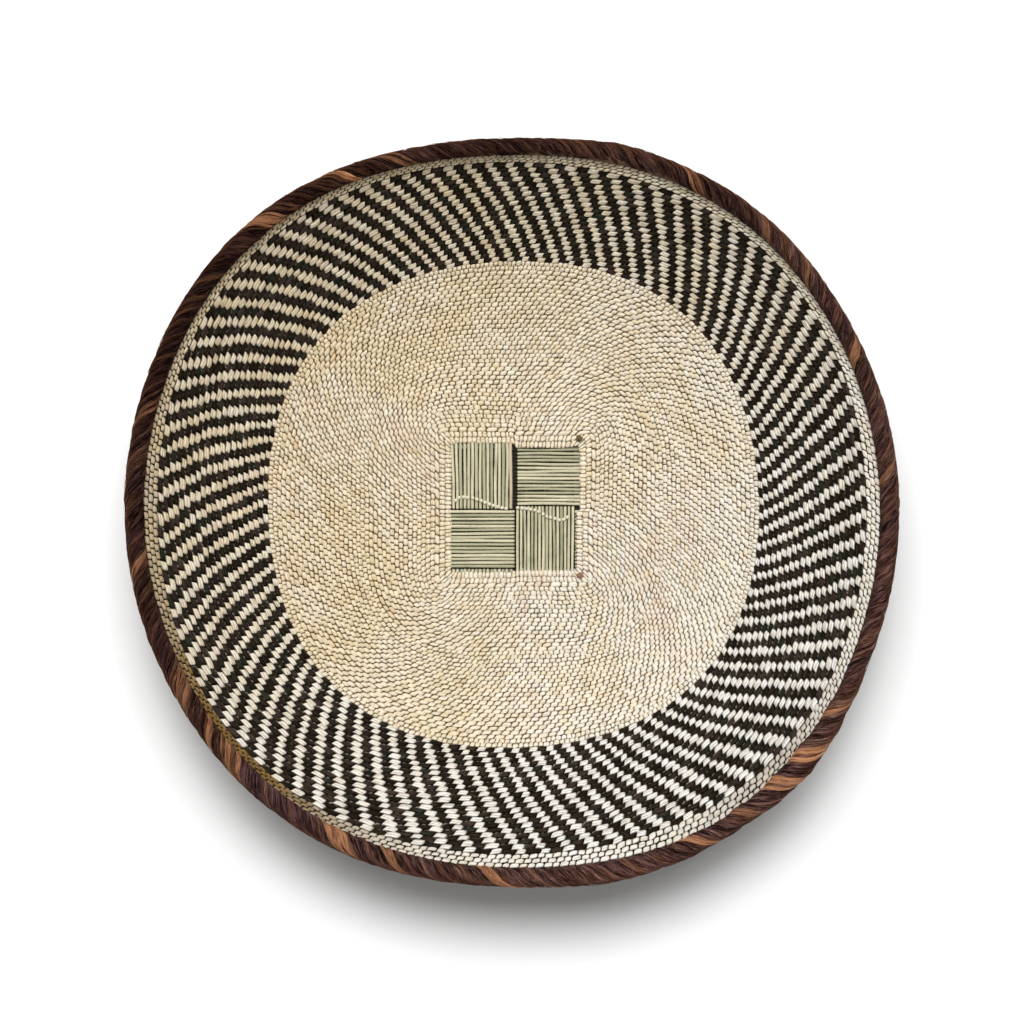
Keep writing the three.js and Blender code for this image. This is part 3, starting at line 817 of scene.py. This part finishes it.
def on_square(upright, across, along, high):
    """Points over the square, for a rib that runs up and down it or from side to side."""
    x, y = (across, along) if upright else (along, across)
    return stacked(SQUARE_MIDDLE[0] + x, SQUARE_MIDDLE[1] + y, high)


def gap_rib(upright, middle, half, level):
    """A rib that lies deep in the gap between two bundles, painted near black as shade."""
    s = np.linspace(-0.0435, 0.0435, 30)[:, None]
    x, y = np.array(RIB_PROFILE, float).T
    points = on_square(upright, middle + x * half, s, level + y * 0.0005)
    return swept(points, stacked(s * 1000, x, 3.0), (0.3, 1, 0))


def square_rib(bundle, number, rng):
    """One rib of a bundle, from the weave on one side of the square to the weave on the other."""
    thick = bpy.context.scene.basket_sizes.rib_thick
    s = RIB_STATIONS
    over = smooth(s - bundle.turn, -0.001, 0.001)
    front = over if bundle.lift < 0 else 1 - over
    ends = smooth(abs(s), 0.0412, 0.0384)
    height = FLOOR_MIDDLE + (2 * front - 1) * ends * (thick + 0.0003) / 2
    bend = rng.normal(0, 0.00012, 3)
    middle = bundle.first + (number + 0.5) * bundle.pitch
    middle = middle + bend[0] * np.sin(s * 60 + rng.uniform(0, TURN))
    middle = middle + bend[1] * np.sin(s * 130 + bend[2] * 9000)
    if bundle.name == "left" and number < 4:
        middle = middle - 0.0009 * (4 - number) / 4 * smooth(s, 0.012, 0.04)
    half = bundle.pitch / 2
    width = half * rng.uniform(0.82, 0.99) * (1 + 0.05 * np.sin(s * 90 + rng.uniform(0, TURN)))
    width = np.maximum(width, half * 1.02 * (1 - front))
    x, y = np.array(RIB_PROFILE, float).T
    tilt = rng.normal(0, 0.1)
    level = np.maximum(height[:, None] + (y + tilt * x) * thick / 2, 0.0003)
    points = on_square(bundle.upright, middle[:, None] + x * width[:, None], s[:, None], level)
    key = BUNDLES.index(bundle) * SQUARE_RIBS + number
    pale = 0.2 + 0.45 * (number % 2) + rng.uniform(0, 0.4) if rng.uniform() < 0.7 else rng.uniform(0, 1)
    blush = 0.5 if bundle.name == "left" and number == SQUARE_RIBS - 1 else 0.0
    # Painted shade on a rib's low faces and where it runs under the other bundle
    covered = (1 - front) * smooth(abs(s), 0.0372, 0.0352)
    low = np.minimum(1 - (y + 1) / 2 + 0.8 * covered[:, None], 1)
    return swept(points, stacked(s[:, None] * 1000, x, key * 5.3), stacked(min(pale, 1), low, blush))


# The rim

# Where the tan inner face of the bark shows: direction, half width in degrees, share
TAN_PLACES = (
    (2, 1.2, 0.35), (6, 1, 0.35), (25, 1.5, 0.45), (39, 1.2, 0.4), (48, 1.8, 0.3), (61, 1.6, 0.5),
    (108, 1.5, 0.35), (117, 1.8, 0.9), (130.5, 2.6, 0.55), (165, 1.2, 0.3), (188, 1, 0.5),
    (208, 2.4, 0.45), (215.5, 1.6, 0.6), (221, 3, 0.55), (242.5, 2.8, 0.65), (251, 1, 0.5),
    (267, 1.6, 0.6), (288.5, 1, 0.3), (300, 1.2, 0.9), (307.8, 1.4, 0.5), (314.8, 1.8, 1), (321, 2, 1),
    (329, 1.5, 0.9), (351.5, 1, 0.3),
)
# Where the binding is thin or swollen: direction and width in degrees, and how far its inner and outer lines
# move out, in metres
RIM_BUMPS = (
    (30, 16, 0, -0.0011), (73, 7, 0.0004, 0.0019), (85, 28, 0.0009, 0), (112, 26, 0, -0.0008),
    (130, 9, -0.0006, 0), (245, 12, -0.001, 0), (284, 9, 0, 0.0017), (306, 6, -0.0006, -0.0016),
    (318, 8, -0.0015, 0.0014), (338, 9, 0, -0.0009),
)
PLUM_STRETCH = (222, 240)  # where the bark has a painted plum sheen, in degrees
LUMPY_STRETCH = (296, 332)
CORE = 0.0047  # from the middle of the rim to the bark
BARK_THICK = 0.0007
# Once round the hoops, from the last row inside over the crest to the last row outside
BINDING_ARC = np.radians(np.linspace(-72, 252, 25))[:, None]
CREST = math.radians(45)  # where the binding is highest, on that arc
WRAP_PROFILE = (
    (-1, 0), (-0.72, 0.72), (-0.26, 1), (0.26, 1), (0.72, 0.72), (1, 0), (0.7, -0.5), (-0.7, -0.5),
)


def wrap_tan(degrees, rng):
    """How much of the bark's tan inner face shows on a wrap here, and how much painted plum sheen."""
    near = [share for at, wide, share in TAN_PLACES if abs(away_from(degrees, at)) < wide * 0.75]
    tan = max(near, default=0) * rng.choice([0.2, 0.7, 1.0, 1.0])
    plum = 0.9 if PLUM_STRETCH[0] < degrees < PLUM_STRETCH[1] else 0.4 * rng.uniform() ** 2
    return min(tan + 0.15 * rng.uniform() ** 3, 1), plum


def bound(a, theta, height):
    """Points on the binding: theta turns about the hoops from their inner side, over the crest, outward."""
    far = np.sin(theta - CREST)
    for at, wide, inner, outer in RIM_BUMPS:
        bump = hump(np.degrees(a), at, wide)
        height = height + bump * (outer * np.maximum(far, 0) - inner * np.maximum(-far, 0))
    radius = CORE + height
    return wall(RIM_RADIUS, a, radius * np.cos(theta), radius * np.sin(theta))


def wind(theta):
    """How far the bark runs along the rim as it turns about it, flatter to the rim on the outer side."""
    turned = theta - CREST
    return bpy.context.scene.basket_sizes.wrap_bend * CORE * (turned + 0.35 * np.clip(turned, 0, 1.8) ** 2)


def bark_wrap(number):
    """A strip of bark wound once round the hoops, from the last row inside to the last row outside."""
    sizes = bpy.context.scene.basket_sizes
    rng = np.random.default_rng(5000 + number)
    theta = BINDING_ARC
    x, lid = np.array(WRAP_PROFILE, float).T
    half = math.pi * RIM_RADIUS / sizes.wraps * rng.uniform(0.9, 1.8)
    ridge = rng.normal(0, 0.12, 8) + 0.12 * np.sin(theta * rng.uniform(1, 3) + rng.uniform(0, TURN, 8))
    height = BARK_THICK * (lid + ridge * (lid > 0.5)) + rng.normal(0.0001, 0.0002)
    middle = (number + 0.5) / sizes.wraps * TURN + rng.normal(0, 0.0004) / RIM_RADIUS
    degrees = math.degrees(middle)
    tan, plum = wrap_tan(degrees, rng)
    lump = BARK_THICK * smooth(math.sin(degrees * 0.9) + 0.2 * math.sin(degrees * 2.3), 0.2, 1.0)
    height = height + lump * (1.0 if LUMPY_STRETCH[0] < degrees < LUMPY_STRETCH[1] else 0.3)
    wander = 0.0005 * np.sin(theta * rng.uniform(0.8, 1.6) + rng.uniform(0, TURN))
    a = middle + (wind(theta) * rng.uniform(0.85, 1.15) + x * half + wander) / RIM_RADIUS
    mark = stacked(rng.uniform(0, 1), tan, plum + 0 * theta)
    return swept(bound(a, theta, height), stacked(theta * 7.3, x, number * 3.1), mark)


def bark_lining(strip):
    """The bark underneath, which shows between the wraps."""
    theta = BINDING_ARC
    x = np.linspace(0, 1, 13)
    a = (strip + x) / BARK_STRIPS * TURN + wind(theta) / RIM_RADIUS
    front, back = bound(a, theta, 0.0001), bound(a, theta, -0.0003)
    lay = stacked(theta * 7.3, np.concatenate([x, x[::-1]]) * 40, strip * 9.1)
    return swept(np.concatenate([front, back[:, ::-1]], 1), lay, (0.1, 0, 0))


def bark_hair(strip, rng):
    """A fibre that has come loose from the bark and lies over it, nearly along the rim."""
    start, length = rng.uniform(-30, 120), rng.uniform(30, 90)
    t = np.linspace(0, 1, 9)[:, None]
    theta = np.radians(start + length * t)
    middle = (strip + rng.uniform(0, 1)) / BARK_STRIPS * TURN
    across = np.linspace(0, TURN, 4, endpoint=False)
    thin = 0.00014 * (1 - 0.7 * abs(2 * t - 1) ** 3)
    curl = 0.0008 * np.sin(3 * t + rng.uniform(0, TURN))
    a = middle + (wind(theta) * rng.uniform(0.6, 2.6) + curl + thin * np.cos(across)) / RIM_RADIUS
    height = 0.00095 + rng.uniform(0, 0.0006) * smooth(t, 0.5, 1.0) + thin * np.sin(across)
    lay = stacked(t * 6, np.cos(across), strip * 7.7)
    return swept(bound(a, theta, height), lay, (0.9, rng.uniform(0, 0.7), 0.2))


# Small pieces

# Where each thread is laced, in millimetres from the middle of the square
LACING = {
    "left": (
        (-35.5, 4.9), (-33.5, 6.6), (-30.8, 6.9), (-25.2, 6.4), (-22, 5.4), (-19.2, 4.4), (-16.8, 3.3),
        (-13.8, 2.1), (-10.7, 1.3), (-7.5, 0.5), (-5, 0.1),
    ),
    "right": (
        (1.8, 0.5), (7, 0), (12.5, -1), (15.3, -2), (17.8, -3.7), (19.9, -5), (22.5, -5.5), (25.1, -6.3),
        (27.2, -7), (29.8, -6.5), (31.8, -5.2),
    ),
}
LACING_STITCHES = 13
THREAD_LEVEL = FLOOR_MIDDLE + 0.0028
THREAD_STITCH = (0.0023, 0.0021, 0.0019)  # length, width and height
# Each knot: a sign for the way it is tied, and its corner of the square
KNOTS = {"upper": (1, (0.0392, 0.0424)), "lower": (-1, (0.0395, -0.0402))}
KNOT_LEVEL = 0.0053
KNOT_RISE = 0.0005  # from each turn of a knot to the next
KNOT_STRAND = (0.0047, 0.0017, 0.002)  # length, width and height


def bead(middle, turn, length, width, height, seed):
    """A short fat strand that lies at an angle and is highest in its middle."""
    t = np.linspace(-1, 1, 9)[:, None]
    angle = np.linspace(0, TURN, 10, endpoint=False)
    round_off = np.sqrt(np.maximum(1 - abs(t) ** 2.6, 0.004))
    side = np.cos(angle) * round_off * width / 2
    high = np.sin(angle) * round_off * height / 2 - 0.25 * height * t**2
    along, c, s = t * length / 2, math.cos(turn), math.sin(turn)
    points = stacked(middle[0] + along * c - side * s, middle[1] + along * s + side * c, middle[2] + high)
    return swept(points, stacked(t * length * 500, np.cos(angle), seed), np.zeros(3))


def lacing_parts(side):
    """Small stitches laced over the ribs along one thread."""
    rng = np.random.default_rng(31 if side == "left" else 32)
    stops = np.array(LACING[side]) / 1000
    length = np.concatenate([[0], np.cumsum(np.linalg.norm(np.diff(stops, axis=0), axis=1))])
    at = np.linspace(0, length[-1], LACING_STITCHES) + rng.normal(0, 0.0001, LACING_STITCHES)
    x, y = (np.interp(at, length, stops[:, i]) for i in (0, 1))
    heading = np.arctan2(np.gradient(y), np.gradient(x))
    long, wide, high = THREAD_STITCH
    parts = []
    for i in range(LACING_STITCHES):
        turn = heading[i] + math.radians(rng.normal(18, 7))
        middle = (SQUARE_MIDDLE[0] + x[i], SQUARE_MIDDLE[1] + y[i], THREAD_LEVEL)
        parts.append(bead(middle, turn, long * rng.uniform(0.92, 1.1), wide, high, i * 2.3))
    return parts


def knot_parts(side, corner):
    """A knot of three short turns, one over the other."""
    rng = np.random.default_rng(61 + side)
    parts = []
    for i, degrees in enumerate((20, 80, 140)):
        x, y = np.array(SQUARE_MIDDLE) + corner + rng.normal(0, 0.0002, 2)
        middle = (x, y, KNOT_LEVEL + KNOT_RISE * i)
        parts.append(bead(middle, math.radians(degrees * side), *KNOT_STRAND, i * 9.0))
    return parts


# The stage

LAMPS = {"lamp_left": 109, "lamp_right": 73}  # the direction of each, in degrees
LAMP_SPREAD = math.radians(25)  # a wide lamp, for soft shadows
# The floor that is seen brightens towards white outside the basket's shadow, by this much between two
# distances from a place
GLOW_MIDDLE = (0.005, -0.045, 0)
GLOW_REACH = (0.205, 0.3)
GLOW = 0.3
FLOOR_HALF = 8
SENSOR_WIDTH = 36  # in millimetres


# Operators


class BASKET_OT_square(bpy.types.Operator):
    """Lay the ribs over and under in the open square"""

    bl_idname = "basket.square"
    bl_label = "Ribs of the Square"

    def execute(self, context):
        tints = context.scene.basket_colours
        finish = rib_finish("square_ribs", tints.sage, tints.rib_cream, tints.rib_dark)
        rng = np.random.default_rng(context.scene.basket_sizes.seed)
        for bundle in BUNDLES:
            parts = [square_rib(bundle, number, rng) for number in range(SQUARE_RIBS)]
            build_piece(f"ribs_{bundle.name}", parts, finish, [f"rib_bundle_{bundle.name}"])
        # Near black ribs in the gaps between bundles: painted shade
        build_piece("ribs_between", [gap_rib(*gap) for gap in GAP_RIBS], finish)
        return {"FINISHED"}


class BASKET_OT_rib_layer(bpy.types.Operator):
    """Fan the ribs out inside the weave"""

    bl_idname = "basket.rib_layer"
    bl_label = "Ribs in the Weave"

    def execute(self, context):
        tints = context.scene.basket_colours
        # The ribs in the weave, seen only in gaps between stitches, are darker than the square's: painted
        # shade
        brown = rib_finish("field_ribs", tone(150, 118, 80), tone(176, 146, 106), tints.groove)
        pale = rib_finish("band_ribs", tone(110, 102, 90), tone(160, 152, 136), tints.shadow)
        corners = [f"corner_ribs_{a}_{b}" for a in ("upper", "lower") for b in ("left", "right")]
        dark = rib_finish("edge_ribs", tone(58, 42, 24), tone(86, 66, 40), tints.shadow)
        for course in COURSES:
            finish = {"band": pale, "edge": dark}.get(course.split("_")[0], brown)
            build_rib_layer(course, finish, corners)
        return {"FINISHED"}


class BASKET_OT_plain_rows(bpy.types.Operator):
    """Twine the plain rows round the square and along the edge"""

    bl_idname = "basket.plain_rows"
    bl_label = "Plain Rows"

    def execute(self, context):
        tints = context.scene.basket_colours
        finish = palm_finish("palm", tints.groove, (0.0, 0.0), 0.15)
        edge = palm_finish("edge_palm", tints.shadow, (0.0, 0.45), 0.1)
        for course in COURSES:
            if course == "edge_rows":
                build_rows(course, (EDGE_STITCH, EDGE_STITCH), (edge, edge), ("palm", "palm"))
            elif not course.startswith("band"):
                build_rows(course, (FIELD_STITCH, FIELD_STITCH), (finish, finish), ("palm", "palm"))
        return {"FINISHED"}


class BASKET_OT_band_rows(bpy.types.Operator):
    """Twine the patterned band, one strand of each row pale and one dyed"""

    bl_idname = "basket.band_rows"
    bl_label = "Patterned Rows"

    def execute(self, context):
        tints = context.scene.basket_colours
        finishes = palm_finish("band_palm", tints.shadow, (0.08, 0.65), 0.5, 0.9), dyed_finish()
        for course in COURSES:
            if course.startswith("band"):
                build_rows(course, (BAND_STITCH, DYED_STITCH), finishes, ("palm", "dyed_palm"))
        return {"FINISHED"}


class BASKET_OT_hoops(bpy.types.Operator):
    """Finish the two hoops of the rim"""

    bl_idname = "basket.hoops"
    bl_label = "Hoops"

    def execute(self, context):
        tints = context.scene.basket_colours
        finish = plain_fibre_finish("withy", tints.withy, tone(84, 56, 32), 900.0, 0.0002)
        for name in ("hoop_inner", "hoop_outer"):
            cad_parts[name].data.materials.clear()
            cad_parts[name].data.materials.append(finish)
        return {"FINISHED"}


class BASKET_OT_bark_binding(bpy.types.Operator):
    """Wind the strips of bark round the hoops"""

    bl_idname = "basket.bark_binding"
    bl_label = "Bark Binding"

    def execute(self, context):
        finish = bark_finish()
        wraps = context.scene.basket_sizes.wraps
        for strip in range(BARK_STRIPS):
            mine = [i for i in range(wraps) if i * BARK_STRIPS // wraps == strip]
            label = f"{strip + 1:02d}"
            rng = np.random.default_rng(8000 + strip)
            parts = [bark_lining(strip), *(bark_wrap(i) for i in mine)]
            parts += [bark_hair(strip, rng) for _ in range(context.scene.basket_sizes.hairs)]
            build_piece(f"bark_wraps_{label}", parts, finish, [f"bark_strip_{label}"])
        return {"FINISHED"}


class BASKET_OT_lacing(bpy.types.Operator):
    """Lace the thread over the ribs of the square"""

    bl_idname = "basket.lacing"
    bl_label = "Lacing"

    def execute(self, context):
        tint = context.scene.basket_colours.thread
        finish = plain_fibre_finish("thread", tint, tone(176, 158, 118), 2600.0, 0.0001)
        for side in LACING:
            build_piece(f"lacing_{side}", lacing_parts(side), finish, [f"thread_{side}"])
        return {"FINISHED"}


class BASKET_OT_knots(bpy.types.Operator):
    """Tie the two knots at the corners of the square"""

    bl_idname = "basket.knots"
    bl_label = "Knots"

    def execute(self, context):
        tints = context.scene.basket_colours
        for (name, place), tint in zip(KNOTS.items(), (tints.knot, tints.knot_pink)):
            finish = plain_fibre_finish(f"knot_{name}", tint, tone(44, 28, 16), 1400.0, 0.0003)
            build_piece(f"tied_knot_{name}", knot_parts(*place), finish, [f"knot_{name}"])
        return {"FINISHED"}


class BASKET_OT_stage(bpy.types.Operator):
    """Set the floor, the light and the camera"""

    bl_idname = "basket.stage"
    bl_label = "Stage"

    def execute(self, context):
        stage = context.scene.basket_stage
        self.lay_floor(stage)
        self.light(context.scene, stage)
        lens = bpy.data.cameras.new("camera")
        lens.lens, lens.sensor_width = stage.lens, SENSOR_WIDTH
        lens.clip_start, lens.clip_end = 0.05, 50
        camera = set_down("camera", lens)
        camera.location = (0, 0, stage.camera_height)
        context.scene.camera = camera
        context.scene.view_settings.view_transform = "Standard"
        return {"FINISHED"}

    def lay_floor(self, stage):
        material = bpy.data.materials.new("floor")
        material.use_nodes = True
        material.node_tree.nodes.clear()
        w = Wiring(material.node_tree)
        away = w.put("ShaderNodeVectorMath", {0: w.body_place(), 1: GLOW_MIDDLE}, operation="DISTANCE")
        strength = w.times(w.seen_directly(), w.spread(away.outputs["Value"], *GLOW_REACH, 0.0, GLOW))
        glow = w.put("ShaderNodeEmission", {"Strength": strength}).outputs[0]
        matt = w.put("ShaderNodeBsdfDiffuse", {"Color": (*stage.floor, 1)}).outputs[0]
        both = w.put("ShaderNodeAddShader", {0: matt, 1: glow}).outputs[0]
        w.put("ShaderNodeOutputMaterial", {"Surface": both})
        mesh = bpy.data.meshes.new("floor")
        corners = [(x * FLOOR_HALF, y * FLOOR_HALF, 0) for x, y in ((-1, -1), (1, -1), (1, 1), (-1, 1))]
        mesh.from_pydata(corners, [], [(0, 1, 2, 3)])
        mesh.materials.append(material)
        floor = set_down("floor", mesh)

    def light(self, scene, stage):
        level = math.cos(stage.lamp_height)
        for name, direction in LAMPS.items():
            sun = bpy.data.lights.new(name, "SUN")
            sun.energy, sun.angle = stage.lamp / len(LAMPS), LAMP_SPREAD
            lamp = set_down(name, sun)
            turn = math.radians(direction)
            toward = Vector((math.cos(turn) * level, math.sin(turn) * level, math.sin(stage.lamp_height)))
            lamp.rotation_mode = "QUATERNION"
            lamp.rotation_quaternion = toward.to_track_quat("Z", "Y")
        scene.world = bpy.data.worlds.new("sky")
        scene.world.use_nodes = True
        w = Wiring(scene.world.node_tree)
        back = w.tree.nodes["Background"]
        w.feed(back.inputs["Color"], (1, 1, 1, 1))
        w.feed(back.inputs["Strength"], w.spread(w.seen_directly(), 0, 1, stage.sky, 1))


OPERATORS = (
    BASKET_OT_square, BASKET_OT_rib_layer, BASKET_OT_plain_rows, BASKET_OT_band_rows, BASKET_OT_hoops,
    BASKET_OT_bark_binding, BASKET_OT_lacing, BASKET_OT_knots, BASKET_OT_stage,
)


class BASKET_PT_sidebar(bpy.types.Panel):
    """The basket's sizes, colours and pieces"""

    bl_idname = "BASKET_PT_sidebar"
    bl_label = "Wall Basket"
    bl_space_type = "VIEW_3D"
    bl_region_type = "UI"
    bl_category = "Basket"

    def draw(self, context):
        for label, group in GROUPS.items():
            box = self.layout.box()
            box.label(text=label.replace("basket_", "").capitalize())
            for name in group.__annotations__:
                box.prop(getattr(context.scene, label), name)
        for operator in OPERATORS:
            self.layout.operator(operator.bl_idname)


GROUPS = {"basket_sizes": BasketSizes, "basket_colours": BasketColours, "basket_stage": BasketStage}
CLASSES = (*GROUPS.values(), *OPERATORS, BASKET_PT_sidebar)


def register():
    for cls in CLASSES:
        bpy.utils.register_class(cls)
    for label, group in GROUPS.items():
        setattr(bpy.types.Scene, label, PointerProperty(type=group))


def unregister():
    for label in GROUPS:
        delattr(bpy.types.Scene, label)
    for cls in reversed(CLASSES):
        bpy.utils.unregister_class(cls)


def main():
    register()
    bpy.ops.basket.square()
    bpy.ops.basket.rib_layer()
    bpy.ops.basket.plain_rows()
    bpy.ops.basket.band_rows()
    bpy.ops.basket.hoops()
    bpy.ops.basket.bark_binding()
    bpy.ops.basket.lacing()
    bpy.ops.basket.knots()
    bpy.ops.basket.stage()


if __name__ == "__main__":
    main()
